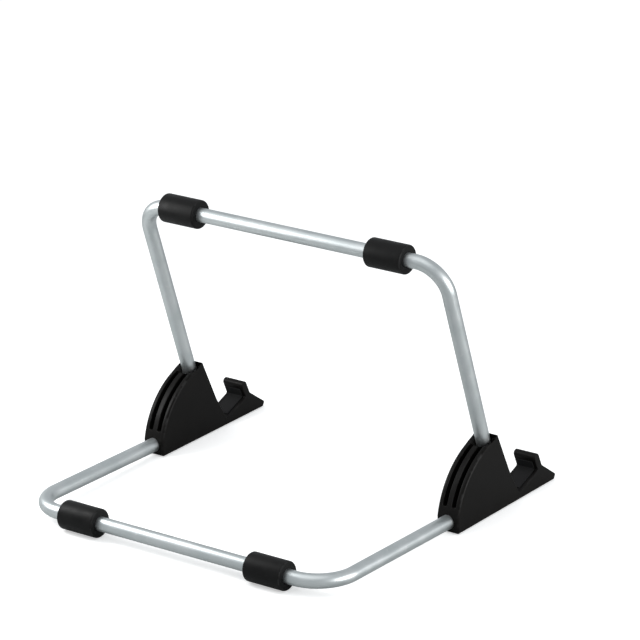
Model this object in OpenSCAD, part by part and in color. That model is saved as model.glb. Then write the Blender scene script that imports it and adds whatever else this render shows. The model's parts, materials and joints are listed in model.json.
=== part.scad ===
/* [Rod frames] */
// Distance between the two legs of a frame, axis to axis
leg_spacing = 151; // [120:1:200]
// Diameter of the round rod that both frames are bent from
rod_d = 6; // [5:0.1:6.6]
// Chamfer on the cut ends of the rods
rod_chamfer = 0.6; // [0.2:0.1:1]
// Length of each leg that sits inside its socket
leg_insert = 15; // [10:0.5:16]
// Distance from the heel of the brackets to the axis of the lower crossbar
lower_reach = 78.5; // [60:0.5:120]
// Bend radius of the lower frame, to the rod axis
lower_bend_r = 16; // [12:0.5:25]
// Distance from the upper socket mouth to the axis of the upper crossbar
upper_reach = 83.5; // [60:0.5:120]
// Bend radius of the upper frame, to the rod axis
upper_bend_r = 13; // [12:0.5:25]
// Backward lean of the upper frame from the vertical, in degrees
upper_lean = 16.7; // [12:0.1:19]

/* [Rubber sleeves] */
// Outside diameter of each sleeve
sleeve_d = 12; // [11:0.1:14]
// Length of each sleeve
sleeve_len = 18; // [10:0.5:24]
// Small chamfer round both ends of a sleeve
sleeve_chamfer = 0.5; // [0.2:0.1:1]
// Gap between a lower sleeve and the bend beside it
lower_sleeve_gap = 3.3; // [0:0.1:20]
// Gap between the upper left sleeve and the bend beside it
upper_left_sleeve_gap = 3.8; // [0:0.1:20]
// Gap between the upper right sleeve and the bend, where it is pushed just onto the bend
upper_right_sleeve_gap = -0.6; // [-0.6:0.1:20]
// Radial clearance of a sleeve on its rod, so that it can be pushed along
sleeve_clearance = 0.05; // [0.02:0.01:0.1]

/* [Brackets] */
// Width of a bracket
bracket_w = 10.6; // [10:0.1:14]
// Height of the bracket above the table
bracket_h = 33.5; // [32.8:0.1:34.5]
// Distance from the heel to the toe of a bracket
bracket_len = 69; // [66:0.5:80]
// Height of the upright facet at the heel
heel_h = 6.3; // [5.8:0.1:7]
// Radius of the curved back
back_r = 33.8; // [33:0.1:35]
// Distance from the heel forward to the front edge of the top
apex_y = 28.4; // [28:0.1:30]
// Distance from the heel forward to where the curved back meets the top
back_end_y = 25.5; // [25:0.1:26.5]
// Lean of the front face behind the tablet, in degrees
front_lean = 23.4; // [21:0.1:25]
// Height at which the front face breaks into the corner relief
relief_h = 14; // [12:0.5:16]
// Height of the bottom of the corner relief
notch_z = 3.6; // [3.2:0.1:4.5]
// Width of the flat bottom of the corner relief
notch_flat = 1.7; // [1:0.1:3]
// Distance from the heel forward to the corner relief
notch_y = 42.6; // [41:0.1:45]
// Radial clearance of a leg in its socket
socket_clearance = 0.05; // [0.02:0.01:0.1]
// Depth that a socket goes on past the end of its leg
socket_end_gap = 0.3; // [0.2:0.1:0.5]
// Height of the lower socket axis at the heel
lower_socket_z = 4.6; // [4.4:0.1:5]
// Distance from the heel forward to the upper socket mouth, on its axis
upper_socket_y = 25.5; // [25:0.1:26]
// Height of the upper socket mouth, on its axis
upper_socket_z = 31.4; // [31:0.1:32]
// Radius that the lead-in of the upper socket opens out to, behind the ridge of the top
lead_in_r = 5; // [4:0.1:5.1]
// Radius on the two side edges of the curved back and the heel
back_edge_r = 1.2; // [0.6:0.1:1.5]

/* [Tablet seat] */
// Slope of the seat floor, which is square to the tablet, in degrees
seat_slope = 22; // [20:0.5:24]
// Depth of the seat from the corner relief to the front lip
seat_depth = 12.9; // [10:0.1:14]
// Height of the front lip above the seat floor
lip_h = 7; // [5:0.5:10]
// Thickness of the front lip
lip_t = 3.2; // [2.5:0.1:4]
// Height of the nose of the toe
toe_h = 2.4; // [1.5:0.1:3]

/* [Cored slots] */
// Width of each slot in the curved back
slot_w = 2; // [1.5:0.1:2.2]
// Width of the rib between the two slots
rib_w = 2.3; // [2:0.1:3]
// Depth of the slots from the curved back
slot_depth = 5.5; // [3:0.5:6]
// Angle round the back at which the slots start, in degrees
slot_start = 20.5; // [20:0.5:24]
// Angle round the back at which the slots end, in degrees
slot_end = 69.5; // [60:0.5:69.5]

/* [Grip pads] */
// Thickness of a rubber pad under a bracket
base_pad_t = 1.2; // [1:0.1:1.5]
// How far a base pad stands out of its pocket
base_pad_proud = 0.4; // [0.2:0.1:0.6]
// Thickness of the rubber strip in the tablet seat
seat_pad_t = 1; // [0.8:0.1:1.2]
// How far the seat strip stands out of its pocket
seat_pad_proud = 0.3; // [0.1:0.1:0.5]
// Width of plastic left at each side of a pad
pad_margin = 1.6; // [1.2:0.1:2]
// Gap round a pad in its pocket
pad_gap = 0.1; // [0.05:0.05:0.2]

/* [Hidden] */
$fn = 96;
// Overlap that keeps cutters clear of the faces they cut
cut = 1;
rod_r = rod_d / 2;
leg_x = leg_spacing / 2;
sleeve_r = sleeve_d / 2;
// The lower frame drops its crossbar so that the sleeves and the pads share the table
lower_slope = asin((sleeve_r - lower_socket_z) / lower_reach);
// Places of the sleeves along the crossbars
lower_sleeve_x = leg_x - lower_bend_r - lower_sleeve_gap - sleeve_len / 2;
upper_left_sleeve_x = -(leg_x - upper_bend_r - upper_left_sleeve_gap - sleeve_len / 2);
upper_right_sleeve_x = leg_x - upper_bend_r - upper_right_sleeve_gap - sleeve_len / 2;
// Centre of the curved back, which passes through the top of the heel
back_z = -1.2;
back_y = -sqrt(pow(back_r, 2) - pow(heel_h - back_z, 2));
back_end_z = back_z + sqrt(pow(back_r, 2) - pow(-back_end_y - back_y, 2));
// Underside of the plastic, above the table by the stand-out of the pads
base_z = base_pad_proud;
// Corners of the seat: floor direction, lip direction and their meeting points
floor_dir = [-cos(seat_slope), sin(seat_slope)];
lip_dir = [sin(seat_slope), cos(seat_slope)];
seat_back = [-notch_y - notch_flat, notch_z];
seat_front = seat_back + seat_depth * floor_dir;
lip_shoulder = seat_front + (lip_h - lip_t / 2) * lip_dir;
lip_crown = lip_shoulder + lip_t / 2 * floor_dir;
relief_top = [-apex_y - (bracket_h - relief_h) * tan(front_lean), relief_h];
// The seat strip: how far it starts from the relief, and how far it climbs the lip
seat_pad_start = 1;
seat_pad_climb = 4;
pad_w = bracket_w - 2 * pad_margin;
// The base pad: it runs from just forward of the lower socket to near the toe
base_pad_near = leg_insert + 1;
base_pad_far = bracket_len - 4;
// Middle of the whole stand, front to back, which becomes y = 0
middle_y = (lower_reach * cos(lower_slope) + sleeve_r - bracket_len) / 2;

// Puts pieces drawn from the heel of the brackets into the frame of the whole stand
module placed() {
    translate([0, -middle_y, 0]) children();
}

// Local frame of the lower rods: +Y runs out of the socket along the leg
module along_lower() {
    translate([0, 0, lower_socket_z]) rotate([lower_slope, 0, 0]) children();
}

// Local frame of the upper rods: +Y runs out of the socket along the leg
module along_upper() {
    translate([0, -upper_socket_y, upper_socket_z]) rotate([90 - upper_lean, 0, 0]) children();
}

// A rod bent into a U, with its two chamfered leg ends inside the sockets
module rod_frame(reach, bend_r) {
    straight = leg_insert + reach - bend_r - rod_chamfer;
    for (side = [-1, 1]) {
        translate([side * leg_x, -leg_insert, 0]) rotate([-90, 0, 0]) {
            cylinder(d1 = rod_d - 2 * rod_chamfer, d2 = rod_d, h = rod_chamfer);
            translate([0, 0, rod_chamfer]) cylinder(d = rod_d, h = straight);
        }
        translate([side * (leg_x - bend_r), reach - bend_r, 0])
            rotate([0, 0, side > 0 ? 0 : 90])
                rotate_extrude(angle = 90) translate([bend_r, 0]) circle(d = rod_d);
    }
    translate([-(leg_x - bend_r), reach, 0])
        rotate([0, 90, 0]) cylinder(d = rod_d, h = leg_spacing - 2 * bend_r);
}

// A thick rubber tube lying along X, centred on x, with chamfered end faces
module sleeve(x, reach) {
    wall_end = sleeve_r - sleeve_chamfer;
    body_len = sleeve_len - 2 * sleeve_chamfer;
    translate([x, reach, 0]) rotate([0, 90, 0]) difference() {
        union() {
            cylinder(r = sleeve_r, h = body_len, center = true);
            for (end = [0, 1]) mirror([0, 0, end]) translate([0, 0, body_len / 2])
                cylinder(r1 = sleeve_r, r2 = wall_end, h = sleeve_chamfer);
        }
        cylinder(r = rod_r + sleeve_clearance, h = sleeve_len + 2 * cut, center = true);
    }
}

// Lays a side view, drawn with y as its first axis and z as its second, across x
module across(width) {
    rotate([90, 0, 90]) linear_extrude(width, center = true) children();
}

// Side view of a bracket before anything is cut out of it
module bracket_side() {
    intersection() {
        translate([back_y, back_z]) circle(r = back_r, $fn = 192);
        translate([-back_end_y, base_z]) square([back_end_y, bracket_h]);
    }
    polygon([
        [-back_end_y, base_z],
        [-back_end_y, back_end_z],
        [-apex_y, bracket_h],
        relief_top,
        [-notch_y, notch_z],
        seat_back,
        seat_front,
        lip_shoulder,
        lip_shoulder + lip_t * floor_dir,
        seat_front + lip_t * floor_dir,
        [-bracket_len, toe_h],
        [-bracket_len + toe_h / 2, base_z]
    ]);
    translate(lip_crown) circle(d = lip_t);
}

// One cored slot in the curved back, offset is its middle plane
module back_slot(offset) {
    translate([offset, back_y, back_z]) rotate([0, 90, 0])
        rotate([0, 0, 90 + slot_start])
            rotate_extrude(angle = slot_end - slot_start, $fn = 192)
                translate([back_r - slot_depth, -slot_w / 2]) square([slot_depth + cut, slot_w]);
}

// Outline of the pad under a bracket, with round ends, grown by a margin
module base_pad_outline(grow) {
    end_r = pad_w / 2 + grow;
    near = -base_pad_near - pad_w / 2;
    far = -base_pad_far + pad_w / 2;
    for (end_y = [near, far]) translate([0, end_y]) circle(r = end_r);
    translate([-end_r, far]) square([2 * end_r, near - far]);
}

// Side view of the seat strip: along the floor and up the lip, between two depths
module seat_strip_side(below, above, grow) {
    low = seat_back + (seat_pad_start - grow) * floor_dir;
    high = seat_front + (seat_pad_climb + grow) * lip_dir;
    inner = seat_front - above * floor_dir + above * lip_dir;
    outer = seat_front + below * floor_dir - below * lip_dir;
    polygon([
        low + above * lip_dir,
        low - below * lip_dir,
        outer,
        high + below * floor_dir,
        high - above * floor_dir,
        inner
    ]);
}

// Seen from above: a bracket's width, with the two corners of the heel rounded
module heel_plan() {
    inner = bracket_w / 2 - back_edge_r;
    for (side = [-1, 1]) translate([side * inner, -back_edge_r]) circle(r = back_edge_r);
    translate([-inner, -bracket_len]) square([2 * inner, bracket_len]);
    translate([-bracket_w / 2, -bracket_len]) square([bracket_w, bracket_len - back_edge_r]);
}

// A disc that carries the curved back, with its two rims rounded
module back_disc() {
    inner = bracket_w / 2 - back_edge_r;
    translate([0, back_y, back_z]) rotate([0, 90, 0]) rotate_extrude($fn = 192) {
        for (side = [-1, 1]) translate([back_r - back_edge_r, side * inner]) circle(r = back_edge_r);
        translate([0, -inner]) square([back_r, 2 * inner]);
        translate([0, -bracket_w / 2]) square([back_r - back_edge_r, bracket_w]);
    }
}

// The cone that opens out the upper socket, kept off the ridge in front of the rod
module lead_in(bore) {
    opening = lead_in_r - bore;
    intersection() {
        rotate([90, 0, 0]) translate([0, 0, -opening])
            cylinder(r1 = lead_in_r + opening, r2 = bore, h = 2 * opening);
        translate([-bracket_w, -opening, -bracket_w]) cube([2 * bracket_w, 2 * opening, bracket_w + bore]);
    }
}

// A moulded bracket, drawn on its own middle plane
module bracket() {
    bore = rod_r + socket_clearance;
    socket_len = leg_insert + socket_end_gap;
    slot_offset = (rib_w + slot_w) / 2;
    seat_pocket = seat_pad_t - seat_pad_proud;
    base_pocket = base_pad_t - base_pad_proud;
    difference() {
        intersection() {
            across(bracket_w) bracket_side();
            linear_extrude(bracket_h + cut) heel_plan();
            union() {
                back_disc();
                translate([-bracket_w, -bracket_len - cut, 0])
                    cube([2 * bracket_w, bracket_len + cut - back_end_y, bracket_h + cut]);
            }
        }
        along_lower() rotate([90, 0, 0]) translate([0, 0, -cut])
            cylinder(r = bore, h = socket_len + cut);
        along_upper() {
            rotate([90, 0, 0]) translate([0, 0, -3 * cut]) cylinder(r = bore, h = socket_len + 3 * cut);
            lead_in(bore);
        }
        for (side = [-1, 1]) back_slot(side * slot_offset);
        translate([0, 0, base_z - cut]) linear_extrude(base_pocket + cut) base_pad_outline(pad_gap);
        across(pad_w + 2 * pad_gap) seat_strip_side(seat_pocket, cut, pad_gap);
    }
}

// The rubber pad under a bracket
module base_pad() {
    linear_extrude(base_pad_t) base_pad_outline(0);
}

// The rubber strip that the edge of the tablet rests on
module seat_pad() {
    across(pad_w) seat_strip_side(seat_pad_t - seat_pad_proud, seat_pad_proud, 0);
}

module lower_frame() { color("lightsteelblue") placed() along_lower() rod_frame(lower_reach, lower_bend_r); }
module upper_frame() { color("lightsteelblue") placed() along_upper() rod_frame(upper_reach, upper_bend_r); }
module left_bracket() { color("dimgray") placed() translate([-leg_x, 0, 0]) bracket(); }
module right_bracket() { color("dimgray") placed() translate([leg_x, 0, 0]) bracket(); }
module lower_left_sleeve() { color("black") placed() along_lower() sleeve(-lower_sleeve_x, lower_reach); }
module lower_right_sleeve() { color("black") placed() along_lower() sleeve(lower_sleeve_x, lower_reach); }
module upper_left_sleeve() { color("black") placed() along_upper() sleeve(upper_left_sleeve_x, upper_reach); }
module upper_right_sleeve() { color("black") placed() along_upper() sleeve(upper_right_sleeve_x, upper_reach); }
module left_base_pad() { color("black") placed() translate([-leg_x, 0, 0]) base_pad(); }
module right_base_pad() { color("black") placed() translate([leg_x, 0, 0]) base_pad(); }
module left_seat_pad() { color("black") placed() translate([-leg_x, 0, 0]) seat_pad(); }
module right_seat_pad() { color("black") placed() translate([leg_x, 0, 0]) seat_pad(); }

lower_frame();
upper_frame();
left_bracket();
right_bracket();
lower_left_sleeve();
lower_right_sleeve();
upper_left_sleeve();
upper_right_sleeve();
left_base_pad();
right_base_pad();
left_seat_pad();
right_seat_pad();
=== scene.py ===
import json
import math

import bmesh
import bpy
from mathutils import Matrix, Vector


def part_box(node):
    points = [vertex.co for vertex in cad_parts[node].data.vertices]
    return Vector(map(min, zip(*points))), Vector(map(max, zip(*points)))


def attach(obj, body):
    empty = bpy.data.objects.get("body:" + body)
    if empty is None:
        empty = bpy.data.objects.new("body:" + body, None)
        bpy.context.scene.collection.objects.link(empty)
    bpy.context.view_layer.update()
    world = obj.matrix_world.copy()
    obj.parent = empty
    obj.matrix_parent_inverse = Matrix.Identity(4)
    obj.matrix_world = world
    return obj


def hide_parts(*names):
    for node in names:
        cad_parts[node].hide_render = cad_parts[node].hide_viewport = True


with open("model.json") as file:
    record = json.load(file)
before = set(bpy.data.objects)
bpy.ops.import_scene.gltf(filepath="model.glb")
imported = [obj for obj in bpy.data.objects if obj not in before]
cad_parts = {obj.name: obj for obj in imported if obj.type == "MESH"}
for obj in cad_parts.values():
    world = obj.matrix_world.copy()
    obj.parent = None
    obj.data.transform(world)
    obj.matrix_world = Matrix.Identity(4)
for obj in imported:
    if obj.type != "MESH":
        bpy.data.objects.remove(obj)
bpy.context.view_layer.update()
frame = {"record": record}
mm = 0.001


# ---------------------------------------------------------------- brackets
# Two alike brackets, injection moulded in black plastic with a fine eroded grain. Each holds
# one leg of both rod frames in blind sockets, and carries the sloped seat for the tablet.
# The curved back has two cored slots, which keep the wall thickness even.
bracket_low, bracket_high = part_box("left_bracket")
heel_y = bracket_high[1]
bracket_w = bracket_high[0] - bracket_low[0]
bracket_len = heel_y - bracket_low[1]
bracket_base = bracket_low[2]
bracket_top = bracket_high[2]
bracket_edge_r = 0.35 * mm
back_edge_r = 1.2 * mm
back_fade = 5
foot_fade = 1.5 * mm
underside_share = 0.4

heel_h = 6.3 * mm
back_r = 33.8 * mm
back_centre_z = -1.2 * mm
back_centre_y = heel_y - math.sqrt(back_r**2 - (heel_h - back_centre_z) ** 2)
back_end_y = heel_y - 25.5 * mm
apex_y = heel_y - 28.4 * mm
front_lean = math.radians(23.4)
relief_z = 14 * mm
notch_y = heel_y - 42.6 * mm
notch_z = 3.6 * mm
notch_flat = 1.7 * mm
seat_slope = math.radians(22)
seat_depth = 12.9 * mm
lip_h = 7 * mm
lip_t = 3.2 * mm
toe_h = 2.4 * mm

rod_r = 3 * mm
leg_insert = 15 * mm
socket_r = rod_r + 0.05 * mm
socket_len = leg_insert + 0.3 * mm
socket_edge_r = 0.3 * mm
lower_socket = Vector((0, heel_y, 4.6 * mm))
upper_socket = Vector((0, heel_y - 25.5 * mm, 31.4 * mm))
lead_in_r = 5 * mm

slot_w = 2 * mm
slot_middle_x = 2.15 * mm
slot_depth = 5.5 * mm
slot_draft = 0.15 * mm
slot_edge_r = 0.3 * mm
slot_start = math.radians(20.5)
slot_end = math.radians(69.5)

joint_axis = {joint["name"]: Vector(joint["axis"]) for joint in frame["record"]["behaviour"]["joints"]}
lower_leg_way = joint_axis["lower_frame_pull"].normalized()
upper_leg_way = joint_axis["upper_frame_pull"].normalized()

seat_way = Vector((-math.cos(seat_slope), math.sin(seat_slope)))
lip_way = Vector((math.sin(seat_slope), math.cos(seat_slope)))
seat_back = Vector((notch_y - notch_flat, notch_z))
seat_front = seat_back + seat_depth * seat_way


def arc(centre, radius, start, end, steps):
    """Points round an arc, from one angle to another."""
    turns = [start + (end - start) * i / steps for i in range(steps + 1)]
    return [centre + radius * Vector((math.cos(turn), math.sin(turn))) for turn in turns]


def eased(corners, steps=5):
    """The closed outline through the corners, each eased by its own radius."""
    outline = []
    for i, (corner, radius) in enumerate(corners):
        before = (corners[i - 1][0] - corner).normalized()
        after = (corners[(i + 1) % len(corners)][0] - corner).normalized()
        if radius == 0:
            outline.append(corner)
            continue
        half = before.angle(after) / 2
        centre = corner + (before + after).normalized() * radius / math.sin(half)
        first = corner + before * radius / math.tan(half) - centre
        sweep = (math.pi - 2 * half) * (1 if before.cross(after) < 0 else -1)
        for step in range(steps + 1):
            outline.append(centre + Matrix.Rotation(sweep * step / steps, 2) @ first)
    return outline


def inward(outline, i):
    """The way in from a point of an outline that runs anticlockwise, as long as a depth of 1 needs."""
    one = (outline[i] - outline[i - 1]).normalized()
    two = (outline[(i + 1) % len(outline)] - outline[i]).normalized()
    way = Vector((-one.y - two.y, one.x + two.x)).normalized()
    return way / max(0.5, way.dot(Vector((-one.y, one.x))))


def loft(bm, rings, ends=True):
    """Skins a stack of rings that have the same number of points, and closes its two flat ends."""
    made = [[bm.verts.new(point) for point in ring] for ring in rings]
    for low, high in zip(made, made[1:]):
        for i in range(len(low)):
            bm.faces.new((low[i - 1], low[i], high[i], high[i - 1]))
    if ends:
        bm.faces.new(reversed(made[0]))
        bm.faces.new(made[-1])
    return made


def piece(name, bm, smooth_under=32):
    """A new object from a mesh. Edges that turn more than the angle stay crisp."""
    bmesh.ops.remove_doubles(bm, verts=bm.verts, dist=1e-7)
    bmesh.ops.recalc_face_normals(bm, faces=bm.faces)
    mesh = bpy.data.meshes.new(name)
    bm.to_mesh(mesh)
    bm.free()
    mesh.shade_smooth()
    mesh.set_sharp_from_angle(angle=math.radians(smooth_under))
    made = bpy.data.objects.new(name, mesh)
    bpy.context.scene.collection.objects.link(made)
    return made


def eased_slab(outline, width, edge_r, steps=5):
    """Rings for a slab across x with eased side edges. edge_r(point) is the radius at each point."""
    ways = [inward(outline, i) for i in range(len(outline))]
    turns = [math.pi / 2 * step / steps for step in range(steps + 1)]
    rings = []
    for side, turn in [(1, turn) for turn in turns] + [(-1, turn) for turn in reversed(turns)]:
        ring = []
        for point, way in zip(outline, ways):
            radius = edge_r(point)
            spot = point + way * radius * (1 - math.sin(turn))
            ring.append(Vector((side * (width / 2 - radius * (1 - math.cos(turn))), spot.x, spot.y)))
        rings.append(ring)
    return rings


def turned(bm, profile, start, way, sides=64):
    """A turned solid: the profile gives depth along the way and radius, from end to end."""
    across = Vector((1, 0, 0))
    up = way.cross(across)
    rings = []
    for depth, radius in profile:
        turns = [math.tau * i / sides for i in range(sides)]
        ring = [radius * (across * math.cos(turn) + up * math.sin(turn)) for turn in turns]
        rings.append([start + way * depth + point for point in ring])
    loft(bm, rings)


def cut_out(body, build):
    """Cuts the solid that build() draws out of a piece."""
    bm = bmesh.new()
    build(bm)
    cutter = piece("cutter", bm)
    cut = body.modifiers.new("cut", "BOOLEAN")
    cut.operation = "DIFFERENCE"
    cut.solver = "EXACT"
    cut.object = cutter
    result = bpy.data.meshes.new_from_object(body.evaluated_get(bpy.context.evaluated_depsgraph_get()))
    body.modifiers.clear()
    body.data = result
    bpy.data.objects.remove(cutter)


def bracket_outline():
    heel_turn = math.asin((heel_h - back_centre_z) / back_r)
    back_turn = math.acos((back_end_y - back_centre_y) / back_r)
    back = arc(Vector((back_centre_y, back_centre_z)), back_r, heel_turn, back_turn, 44)
    relief_top = Vector((apex_y - (bracket_top - relief_z) * math.tan(front_lean), relief_z))
    lip_top = seat_front + lip_h * lip_way
    lip_foot = seat_front + lip_t * seat_way
    corners = [(Vector((heel_y, bracket_base)), 0.6 * mm)]
    corners += [(point, 0) for point in back]
    corners += [
        (Vector((apex_y, bracket_top)), 0.45 * mm),
        (relief_top, 1.5 * mm),
        (Vector((notch_y, notch_z)), 0.6 * mm),
        (seat_back, 1.0 * mm),
        (seat_front, 0.6 * mm),
        (lip_top, 1.5 * mm),
        (lip_top + lip_t * seat_way, 1.5 * mm),
        (lip_foot, 2.5 * mm),
        (Vector((heel_y - bracket_len, toe_h)), 0.7 * mm),
        (Vector((heel_y - bracket_len + toe_h / 2, bracket_base)), 0.5 * mm),
    ]
    return eased(corners)


quarter = [math.pi / 2 * i / 4 for i in range(5)]


def lower_bore(bm):
    flare = [(-socket_edge_r * math.cos(t), socket_r + socket_edge_r * (1 - math.sin(t))) for t in quarter]
    profile = [(-3 * mm, flare[0][1])] + flare + [(socket_len, socket_r)]
    turned(bm, profile, lower_socket - lower_leg_way * socket_edge_r, -lower_leg_way)


def upper_bore(bm):
    turned(bm, [(-3 * mm, socket_r), (socket_len, socket_r)], upper_socket, -upper_leg_way)


def lead_in(bm):
    """The cone round the upper socket, kept off the ridge in front of the rod."""
    opening = lead_in_r - socket_r
    overlap = 0.4 * mm
    profile = [(-opening, lead_in_r + opening), (opening + overlap, socket_r - overlap)]
    turned(bm, profile, upper_socket, -upper_leg_way)
    ridge_way = Vector((1, 0, 0)).cross(upper_leg_way)
    ridge = upper_socket + ridge_way * (socket_r - 0.1 * mm)
    everything = bm.verts[:] + bm.edges[:] + bm.faces[:]
    cut = bmesh.ops.bisect_plane(bm, geom=everything, plane_co=ridge, plane_no=ridge_way, clear_outer=True)
    rim = [edge for edge in cut["geom_cut"] if isinstance(edge, bmesh.types.BMEdge)]
    bmesh.ops.holes_fill(bm, edges=rim)


def back_slot(side):
    """One cored slot: it narrows with the draft of its core pin, and its mouth is eased."""
    def build(bm):
        levels = [(back_r - slot_depth, -slot_draft), (back_r - slot_edge_r, 0)]
        for turn in quarter[1:]:
            ease = slot_edge_r * (1 - math.cos(turn))
            levels.append((back_r - slot_edge_r * (1 - math.sin(turn)), ease))
        levels.append((back_r + 1 * mm, slot_edge_r + 0.2 * mm))
        rings = []
        for radius, grow in levels:
            half_w = slot_w / 2 + grow
            spread = grow / radius
            end_r = half_w * 0.6
            low, high = radius * (slot_start - spread), radius * (slot_end + spread)
            corners = [(Vector((half_w, low)), end_r), (Vector((half_w, high)), end_r)]
            corners += [(Vector((-half_w, high)), end_r), (Vector((-half_w, low)), end_r)]
            ring = []
            rounded = eased(corners, 4)
            for i, point in enumerate(rounded):
                after = rounded[(i + 1) % len(rounded)]
                pieces = 36 if (after - point).length > 10 * mm else 1
                for step in range(pieces):
                    spot = point.lerp(after, step / pieces)
                    turn = spot.y / radius
                    ring.append(Vector((
                        side * slot_middle_x + spot.x,
                        back_centre_y + radius * math.cos(turn),
                        back_centre_z + radius * math.sin(turn),
                    )))
            rings.append(ring)
        made = loft(bm, rings, ends=False)
        for ring in (made[0], made[-1]):
            for near, far in zip(range(len(ring) // 2 - 1), range(len(ring) - 1, 0, -1)):
                bm.faces.new((ring[near], ring[near + 1], ring[far - 1], ring[far]))
    return build


pad_gap = 0.1 * mm
pad_low, pad_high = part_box("left_base_pad")
pad_w = pad_high[0] - pad_low[0]
base_pocket = 0.8 * mm
seat_pocket = 0.7 * mm
seat_pad_proud = 0.3 * mm
seat_pad_start = 1 * mm
seat_pad_climb = 4 * mm


def stadium(grow, steps=12):
    """Outline of a base pad in x and y, with round ends."""
    end_r = pad_w / 2 + grow
    near = Vector((0, pad_high[1] - pad_w / 2))
    far = Vector((0, pad_low[1] + pad_w / 2))
    return arc(near, end_r, 0, math.pi, steps) + arc(far, end_r, math.pi, math.tau, steps)


def base_pocket_cut(bm):
    levels = (bracket_base - 1 * mm, bracket_base + base_pocket)
    loft(bm, [[Vector((p.x, p.y, z)) for p in stadium(pad_gap)] for z in levels])


def strip_side(below, above, grow, edge_r):
    """Side view of the seat strip: along the floor and up the lip, between two depths."""
    low = seat_back + (seat_pad_start - grow) * seat_way
    high = seat_front + (seat_pad_climb + grow) * lip_way
    inner = seat_front - above * seat_way + above * lip_way
    outer = seat_front + below * seat_way - below * lip_way
    return eased([
        (low + above * lip_way, edge_r),
        (inner, 2 * edge_r),
        (high - above * seat_way, edge_r),
        (high + below * seat_way, 0),
        (outer, edge_r),
        (low - below * lip_way, 0),
    ])


def seat_pocket_cut(bm):
    outline = strip_side(seat_pocket, 1 * mm, pad_gap, 0)
    half = pad_w / 2 + pad_gap
    loft(bm, [[Vector((x, p.x, p.y)) for p in outline] for x in (half, -half)])


def bracket_edge(point):
    """The side edges are broad round the curved back and the heel, and fine everywhere else."""
    forward = (heel_y - point.x) / (heel_y - back_end_y)
    foot = (point.y - bracket_base) / foot_fade
    share = min(1.0, max(0.0, back_fade * (1 - forward)), 0.5 + max(0.0, foot))
    if point.y <= 2 * bracket_base:
        share *= underside_share
    return bracket_edge_r + (back_edge_r - bracket_edge_r) * share


bm = bmesh.new()
loft(bm, eased_slab(bracket_outline(), bracket_w, bracket_edge))
pattern = piece("bracket_pattern", bm)
for cut in (base_pocket_cut, seat_pocket_cut, lower_bore, back_slot(-1), back_slot(1), lead_in, upper_bore):
    cut_out(pattern, cut)
pattern.data.shade_smooth()
pattern.data.set_sharp_from_angle(angle=math.radians(32))


def node_group(name, inputs, outputs):
    """An empty shader node group with its named sockets."""
    group = bpy.data.node_groups.new(name, "ShaderNodeTree")
    for label, kind, value in inputs:
        group.interface.new_socket(label, in_out="INPUT", socket_type=kind).default_value = value
    for label, kind in outputs:
        group.interface.new_socket(label, in_out="OUTPUT", socket_type=kind)
    start = group.nodes.new("NodeGroupInput")
    end = group.nodes.new("NodeGroupOutput")
    return group, start.outputs, end.inputs


def wire(tree, kind, sockets=None, **settings):
    """Adds a node, sets it, and joins or sets its inputs."""
    node = tree.nodes.new(kind)
    for key, value in settings.items():
        setattr(node, key, value)
    for key, value in (sockets or {}).items():
        if isinstance(value, bpy.types.NodeSocket):
            tree.links.new(value, node.inputs[key])
        else:
            node.inputs[key].default_value = value
    return node


def ramp(tree, factor, low, high, to_low=0.0, to_high=1.0):
    """Maps a value from one range to another, with a smooth run between."""
    inputs = {"Value": factor, "From Min": low, "From Max": high, "To Min": to_low, "To Max": to_high}
    return wire(tree, "ShaderNodeMapRange", inputs, interpolation_type="SMOOTHSTEP").outputs["Result"]


def sum_of(tree, one, two, operation="ADD"):
    return wire(tree, "ShaderNodeMath", {0: one, 1: two}, operation=operation).outputs[0]


def make_grain():
    """Fine moulded grain: a height for bump, and a slow mottle for tone and gloss."""
    group, given, out = node_group(
        "moulded_grain",
        [("Grain size", "NodeSocketFloat", 0.0003), ("Mottle size", "NodeSocketFloat", 0.006)],
        [("Height", "NodeSocketFloat"), ("Mottle", "NodeSocketFloat")],
    )
    place = wire(group, "ShaderNodeTexCoord").outputs["Object"]
    fine = sum_of(group, 1.0, given["Grain size"], "DIVIDE")
    broad = sum_of(group, 1.0, given["Mottle size"], "DIVIDE")
    grain = wire(group, "ShaderNodeTexNoise", {"Vector": place, "Scale": fine, "Detail": 2.0})
    cells = wire(group, "ShaderNodeTexVoronoi", {"Vector": place, "Scale": fine})
    height = sum_of(group, grain.outputs["Fac"], cells.outputs["Distance"], "MULTIPLY")
    mottle = wire(group, "ShaderNodeTexNoise", {"Vector": place, "Scale": broad, "Detail": 4.0})
    group.links.new(height, out["Height"])
    group.links.new(ramp(group, mottle.outputs["Fac"], 0.3, 0.7), out["Mottle"])
    return group


def make_edge_wear():
    """Mask of the eased edges that run across x, broken up where hands and the table rub them."""
    group, given, out = node_group(
        "edge_wear",
        [("Patch size", "NodeSocketFloat", 0.003)],
        [("Edge", "NodeSocketFloat"), ("Worn", "NodeSocketFloat")],
    )
    coords = wire(group, "ShaderNodeTexCoord")
    parts = wire(group, "ShaderNodeSeparateXYZ", {0: coords.outputs["Normal"]})
    lean = wire(group, "ShaderNodeMath", {0: parts.outputs["X"]}, operation="ABSOLUTE").outputs[0]
    edge = sum_of(group, ramp(group, lean, 0.2, 0.5), ramp(group, lean, 0.8, 0.97, 1.0, 0.0), "MULTIPLY")
    size = sum_of(group, 1.0, given["Patch size"], "DIVIDE")
    patches = {"Vector": coords.outputs["Object"], "Scale": size, "Detail": 3.0}
    patch = wire(group, "ShaderNodeTexNoise", patches)
    worn = sum_of(group, edge, ramp(group, patch.outputs["Fac"], 0.42, 0.62), "MULTIPLY")
    group.links.new(edge, out["Edge"])
    group.links.new(worn, out["Worn"])
    return group


moulded_grain = make_grain()
edge_wear = make_edge_wear()


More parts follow.
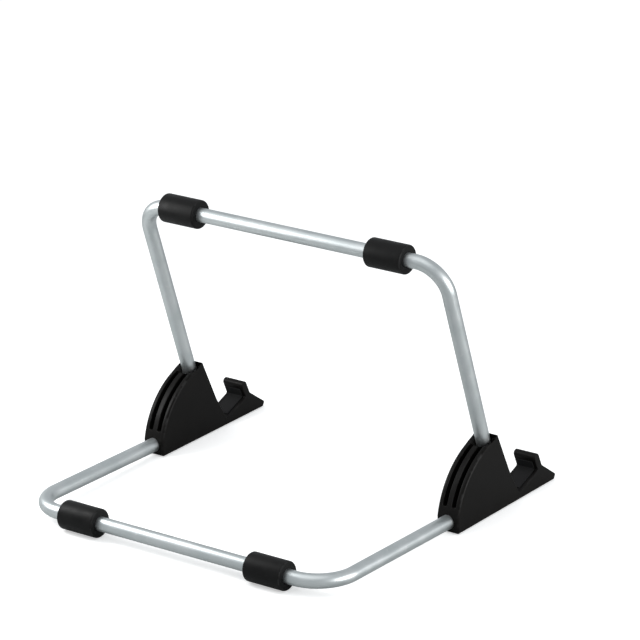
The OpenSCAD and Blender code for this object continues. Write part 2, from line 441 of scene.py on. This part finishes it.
def finish(name, roughness, **constants):
    """A material with a Principled surface. The named constants are set on its own sockets."""
    made = bpy.data.materials.new(name)
    made.use_nodes = True
    surface = made.node_tree.nodes["Principled BSDF"]
    surface.inputs["Roughness"].default_value = roughness
    for label, value in constants.items():
        surface.inputs[label.replace("_", " ")].default_value = value
    return made, made.node_tree, surface


def effect(tree, group, **values):
    """Places a shared effect in a material, with its own values."""
    node = tree.nodes.new("ShaderNodeGroup")
    node.node_tree = group
    for label, value in values.items():
        node.inputs[label.replace("_", " ")].default_value = value
    return node.outputs


def blend(tree, factor, one, two):
    """A colour between two colours."""
    node = wire(tree, "ShaderNodeMix", data_type="RGBA")
    for socket, value in zip((node.inputs[0], node.inputs[6], node.inputs[7]), (factor, one, two)):
        if isinstance(value, bpy.types.NodeSocket):
            tree.links.new(value, socket)
        else:
            socket.default_value = value
    return node.outputs[2]


def bump(tree, surface, height, strength, distance):
    sockets = {"Height": height, "Strength": strength, "Distance": distance}
    tree.links.new(wire(tree, "ShaderNodeBump", sockets).outputs["Normal"], surface.inputs["Normal"])


def moulded_black():
    """Black moulded plastic: an eroded grain, a slow mottle, and burnished edges."""
    made, tree, surface = finish("black_moulded_plastic", 0.42, Specular_IOR_Level=0.10)
    grain = effect(tree, moulded_grain, Grain_size=0.35 * mm, Mottle_size=7 * mm)
    wear = effect(tree, edge_wear, Patch_size=3 * mm)
    body = blend(tree, grain["Mottle"], (0.0034, 0.0030, 0.0026, 1), (0.0048, 0.0043, 0.0038, 1))
    colour = blend(tree, wear["Worn"], body, (0.018, 0.0175, 0.017, 1))
    tree.links.new(colour, surface.inputs["Base Color"])
    rough = ramp(tree, grain["Mottle"], 0.0, 1.0, 0.38, 0.47)
    burnished = ramp(tree, wear["Edge"], 0.0, 1.0, 0.0, -0.10)
    tree.links.new(sum_of(tree, rough, burnished), surface.inputs["Roughness"])
    bump(tree, surface, grain["Height"], 0.22, 0.05 * mm)
    return made


plastic = moulded_black()
for name in ("left_bracket", "right_bracket"):
    low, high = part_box(name)
    bracket = bpy.data.objects.new(name + "_moulding", pattern.data.copy())
    bracket.location.x = (low[0] + high[0]) / 2
    bpy.context.scene.collection.objects.link(bracket)
    level = bracket.modifiers.new("flat_faces", "WEIGHTED_NORMAL")
    level.keep_sharp = True
    bracket.data.materials.append(plastic)
    bpy.context.view_layer.update()
    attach(bracket, "brackets")
    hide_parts(name)
bpy.data.objects.remove(pattern)


# ---------------------------------------------------------------- rod frames
# Two U frames, each bent cold from one length of 6 mm drawn aluminium rod and given a satin
# finish. Their legs push into the sockets of the brackets and hold by friction.
rod_chamfer = 0.6 * mm
leg_x = (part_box("right_bracket")[0][0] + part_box("right_bracket")[1][0]) / 2


def middle(node):
    low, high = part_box(node)
    return (Vector(low) + Vector(high)) / 2


def frame_path(leg_way, crossbar, reach, bend_r):
    """Points along the rod's axis from leg end to leg end."""
    foot = crossbar - leg_way * (reach + leg_insert)
    straight = reach + leg_insert - bend_r
    half = leg_x - bend_r
    spots = [(leg_x, 0.0), (leg_x, rod_chamfer)]
    spots += [(leg_x, rod_chamfer + (straight - rod_chamfer) * i / 40) for i in range(1, 41)]
    spots += [tuple(p) for p in arc(Vector((half, straight)), bend_r, 0, math.pi / 2, 28)[1:]]
    spots += [(half * (1 - i / 60), straight + bend_r) for i in range(1, 61)]
    spots += [(-across, along) for across, along in reversed(spots[:-1])]
    return [foot + Vector((across, 0, 0)) + leg_way * along for across, along in spots]


def bent_rod(name, leg_way, crossbar, reach, bend_r, sides=56):
    """Sweeps the round rod along its path, and marks each point's place on the rod."""
    path = frame_path(leg_way, crossbar, reach, bend_r)
    flat = Vector((1, 0, 0)).cross(leg_way)
    bm = bmesh.new()
    run_layer = bm.verts.layers.float_vector.new("on_rod")
    rings = []
    run = 0.0
    for i, spot in enumerate(path):
        way = (path[min(i + 1, len(path) - 1)] - path[max(i - 1, 0)]).normalized()
        out = way.cross(flat)
        radius = rod_r - rod_chamfer if i in (0, len(path) - 1) else rod_r
        run += (spot - path[max(i - 1, 0)]).length
        ring = []
        for side in range(sides):
            turn = math.tau * side / sides
            vert = bm.verts.new(spot + radius * (out * math.cos(turn) + flat * math.sin(turn)))
            vert[run_layer] = (run, rod_r * math.cos(turn), rod_r * math.sin(turn))
            ring.append(vert)
        rings.append(ring)
    for low, high in zip(rings, rings[1:]):
        for i in range(sides):
            bm.faces.new((low[i - 1], low[i], high[i], high[i - 1]))
    bm.faces.new(reversed(rings[0]))
    bm.faces.new(rings[-1])
    return piece(name, bm)


def make_drawn_grain():
    """Lines that drawing and brushing leave along a rod, and the rubs that handling adds."""
    group, given, out = node_group(
        "drawn_grain",
        [("Line width", "NodeSocketFloat", 0.0002), ("Stretch", "NodeSocketFloat", 60.0)],
        [("Lines", "NodeSocketFloat"), ("Haze", "NodeSocketFloat"), ("Rubs", "NodeSocketFloat")],
    )
    place = wire(group, "ShaderNodeAttribute", attribute_name="on_rod").outputs["Vector"]
    parts = wire(group, "ShaderNodeSeparateXYZ", {0: place})
    slow = sum_of(group, parts.outputs["X"], given["Stretch"], "DIVIDE")
    stretched = {"X": slow, "Y": parts.outputs["Y"], "Z": parts.outputs["Z"]}
    drawn = wire(group, "ShaderNodeCombineXYZ", stretched)
    fine = sum_of(group, 1.0, given["Line width"], "DIVIDE")
    lines = wire(group, "ShaderNodeTexNoise", {"Vector": drawn.outputs[0], "Scale": fine, "Detail": 3.0})
    haze = wire(group, "ShaderNodeTexNoise", {"Vector": place, "Scale": 110.0, "Detail": 4.0})
    rubs = wire(group, "ShaderNodeTexNoise", {"Vector": place, "Scale": 420.0, "Detail": 5.0})
    group.links.new(lines.outputs["Fac"], out["Lines"])
    group.links.new(ramp(group, haze.outputs["Fac"], 0.3, 0.7), out["Haze"])
    group.links.new(ramp(group, rubs.outputs["Fac"], 0.60, 0.74), out["Rubs"])
    return group


drawn_grain = make_drawn_grain()


def satin_aluminium():
    """Satin aluminium rod: a cool light grey metal with fine lines along its length."""
    made, tree, surface = finish("satin_aluminium_rod", 0.3, Metallic=1.0)
    drawn = effect(tree, drawn_grain, Line_width=0.16 * mm, Stretch=90.0)
    body = blend(tree, drawn["Haze"], (0.56, 0.60, 0.60, 1), (0.62, 0.65, 0.65, 1))
    tree.links.new(blend(tree, drawn["Rubs"], body, (0.66, 0.68, 0.68, 1)), surface.inputs["Base Color"])
    lines = ramp(tree, drawn["Lines"], 0.3, 0.7, 0.36, 0.46)
    rough = sum_of(tree, lines, ramp(tree, drawn["Haze"], 0, 1, -0.02, 0.03))
    tree.links.new(rough, surface.inputs["Roughness"])
    bump(tree, surface, drawn["Lines"], 0.10, 0.02 * mm)
    return made


aluminium = satin_aluminium()
for name, body, leg_way, sleeve, socket, bend_r in (
    ("lower_frame", "lower_rods", lower_leg_way, "lower_left_sleeve", lower_socket, 16 * mm),
    ("upper_frame", "upper_rods", upper_leg_way, "upper_left_sleeve", upper_socket, 13 * mm),
):
    crossbar = middle(sleeve)
    crossbar.x = 0
    rod = bent_rod(name + "_rod", leg_way, crossbar, (crossbar - socket).dot(leg_way), bend_r)
    rod.data.materials.append(aluminium)
    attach(rod, body)
    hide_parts(name)


# ---------------------------------------------------------------- sleeves
# Four thick moulded rubber tubes, a push fit on the crossbars. The lower pair are the rear
# feet, and the upper pair cushion the back of the tablet. Both edges of each end are eased.
sleeve_edge_r = 0.75 * mm
sleeve_bore_r = rod_r + 0.05 * mm
bore_edge_r = 0.35 * mm


def moulded_rubber(name, grain, dark, light, roughness):
    """Black rubber: a matt skin with a fine grain, a little bloom, and rubbed edges."""
    made, tree, surface = finish(name, roughness, Specular_IOR_Level=0.12)
    skin = effect(tree, moulded_grain, Grain_size=grain, Mottle_size=5 * mm)
    wear = effect(tree, edge_wear, Patch_size=2 * mm)
    body = blend(tree, skin["Mottle"], dark, light)
    tree.links.new(blend(tree, wear["Worn"], body, (0.018, 0.018, 0.018, 1)), surface.inputs["Base Color"])
    rough = ramp(tree, skin["Mottle"], 0.0, 1.0, roughness - 0.05, roughness + 0.06)
    tree.links.new(rough, surface.inputs["Roughness"])
    bump(tree, surface, skin["Height"], 0.25, 0.05 * mm)
    return made


def sleeve_profile(length, radius):
    """Side of the tube in x and radius, all the way round its wall."""
    half = length / 2
    return eased([
        (Vector((-half, sleeve_bore_r)), bore_edge_r),
        (Vector((half, sleeve_bore_r)), bore_edge_r),
        (Vector((half, radius)), sleeve_edge_r),
        (Vector((-half, radius)), sleeve_edge_r),
    ], 6)


def tube(name, centre, length, radius, sides=96):
    bm = bmesh.new()
    profile = sleeve_profile(length, radius)
    turns = [math.tau * i / sides for i in range(sides)]
    rings = []
    for turn in turns + turns[:1]:
        rings.append([centre + Vector((p.x, p.y * math.cos(turn), p.y * math.sin(turn))) for p in profile])
    loft(bm, rings, ends=False)
    return piece(name, bm, 40)


sleeve_rubber = moulded_rubber(
    "black_sleeve_rubber", 0.28 * mm, (0.0050, 0.0050, 0.0049, 1), (0.0072, 0.0072, 0.0070, 1), 0.46
)
for level in ("lower", "upper"):
    for hand in ("left", "right"):
        name = f"{level}_{hand}_sleeve"
        low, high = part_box(name)
        sleeve = tube(name + "_tube", middle(name), high[0] - low[0], (high[2] - low[2]) / 2)
        sleeve.data.materials.append(sleeve_rubber)
        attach(sleeve, f"{level}_{hand}_grip")
        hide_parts(name)


# ---------------------------------------------------------------- base pads
# A thin rubber pad with round ends, glued into a pocket under each bracket, so that the front
# of the stand grips the table as the rear sleeves do.
pad_edge_r = 0.25 * mm
pad_rubber = moulded_rubber(
    "black_pad_rubber", 0.22 * mm, (0.0075, 0.0075, 0.0077, 1), (0.0110, 0.0110, 0.0110, 1), 0.62
)


def pad_mesh(name):
    bm = bmesh.new()
    rings = []
    for turn in reversed(quarter):
        height = pad_low[2] + pad_edge_r * (1 - math.sin(turn))
        rings.append([(p, height) for p in stadium(-pad_edge_r * (1 - math.cos(turn)))])
    rings.append([(p, pad_high[2]) for p in stadium(0)])
    loft(bm, [[Vector((p.x, p.y, z)) for p, z in ring] for ring in rings])
    return piece(name, bm, 40)


for name in ("left_base_pad", "right_base_pad"):
    pad = pad_mesh(name + "_rubber")
    pad.location.x = middle(name).x
    pad.data.materials.append(pad_rubber)
    bpy.context.view_layer.update()
    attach(pad, "brackets")
    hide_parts(name)


# ---------------------------------------------------------------- seat pads
# A thin rubber strip glued into a pocket in each seat. It runs along the floor and turns up
# the lip, so that the edge and the face of the tablet touch rubber only.
for name in ("left_seat_pad", "right_seat_pad"):
    bm = bmesh.new()
    side = strip_side(seat_pocket, seat_pad_proud, 0, 0.12 * mm)
    loft(bm, eased_slab(list(reversed(side)), pad_w, lambda point: 0.15 * mm, 3))
    strip = piece(name + "_rubber", bm, 40)
    strip.location.x = middle(name).x
    strip.data.materials.append(pad_rubber)
    bpy.context.view_layer.update()
    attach(strip, "brackets")
    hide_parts(name)


# ---------------------------------------------------------------- studio
# A pale floor without a visible edge, a large soft light overhead, a low panel at the left
# and a small one close behind the right bracket. The floor reflects as a darker surface than
# it looks, so that the black pieces stay deep.
floor_r = 6.0
bm = bmesh.new()
bm.faces.new([bm.verts.new((p.x, p.y, 0)) for p in arc(Vector((0, 0)), floor_r, 0, math.tau, 64)[1:]])
floor = piece("floor", bm)
paint, tree, surface = finish("pale_floor", 0.9, Specular_IOR_Level=0.0, Emission_Strength=0.45)
seen = wire(tree, "ShaderNodeLightPath").outputs["Is Camera Ray"]
tone = blend(tree, seen, (0.52, 0.53, 0.53, 1), (0.84, 0.84, 0.83, 1))
glow = blend(tree, seen, (0, 0, 0, 1), (1, 1, 1, 1))
tree.links.new(tone, surface.inputs["Base Color"])
tree.links.new(glow, surface.inputs["Emission Color"])
floor.data.materials.append(paint)

studio_middle = Vector((0, 0, 0.05))


def panel(name, way, distance, size, power, colour=(1, 1, 1)):
    """A soft light panel that faces the stand, from the given direction."""
    light = bpy.data.lights.new(name, "AREA")
    light.shape = "RECTANGLE"
    light.size, light.size_y = size
    light.energy = power
    light.color = colour
    lamp = bpy.data.objects.new(name, light)
    way = Vector(way).normalized()
    lamp.location = studio_middle + way * distance
    lamp.rotation_euler = way.to_track_quat("Z", "Y").to_euler()
    bpy.context.scene.collection.objects.link(lamp)


panel("overhead_panel", (0.15, 0.35, 1.0), 1.5, (1.8, 1.4), 5.5)
panel("left_panel", (-1.0, -0.1, 0.16), 0.7, (0.5, 0.25), 3)
panel("rear_right_panel", (0.25, 0.13, 0.15), 0.29, (0.09, 0.16), 0.5)

world = bpy.data.worlds.new("studio_room")
world.use_nodes = True
world.node_tree.nodes["Background"].inputs["Color"].default_value = (0.93, 0.96, 1.0, 1)
world.node_tree.nodes["Background"].inputs["Strength"].default_value = 0.62
bpy.context.scene.world = world
bpy.context.scene.view_settings.view_transform = "Standard"


# ---------------------------------------------------------------- camera
# Behind the stand and to its left, a little above it, at a long focal length.
azimuth = math.radians(217.91)
elevation = math.radians(20.34)
roll = math.radians(-2.09)
distance = 1.6095
aim_right = 9.51 * mm
aim_up = 70.54 * mm

level_share = math.cos(elevation)
back = Vector((math.sin(azimuth) * level_share, -math.cos(azimuth) * level_share, math.sin(elevation)))
level_right = Vector((0, 0, 1)).cross(back).normalized()
level_up = back.cross(level_right)
right = math.cos(roll) * level_right + math.sin(roll) * level_up
up = back.cross(right)
lens = bpy.data.cameras.new("camera")
lens.lens = 221.9
lens.sensor_width = 36
lens.clip_end = 50
camera = bpy.data.objects.new("camera", lens)
spot = Vector((0, heel_y, 0)) + right * aim_right + up * aim_up + back * distance
camera.matrix_world = Matrix.Translation(spot) @ Matrix((right, up, back)).transposed().to_4x4()
bpy.context.scene.collection.objects.link(camera)
bpy.context.scene.camera = camera
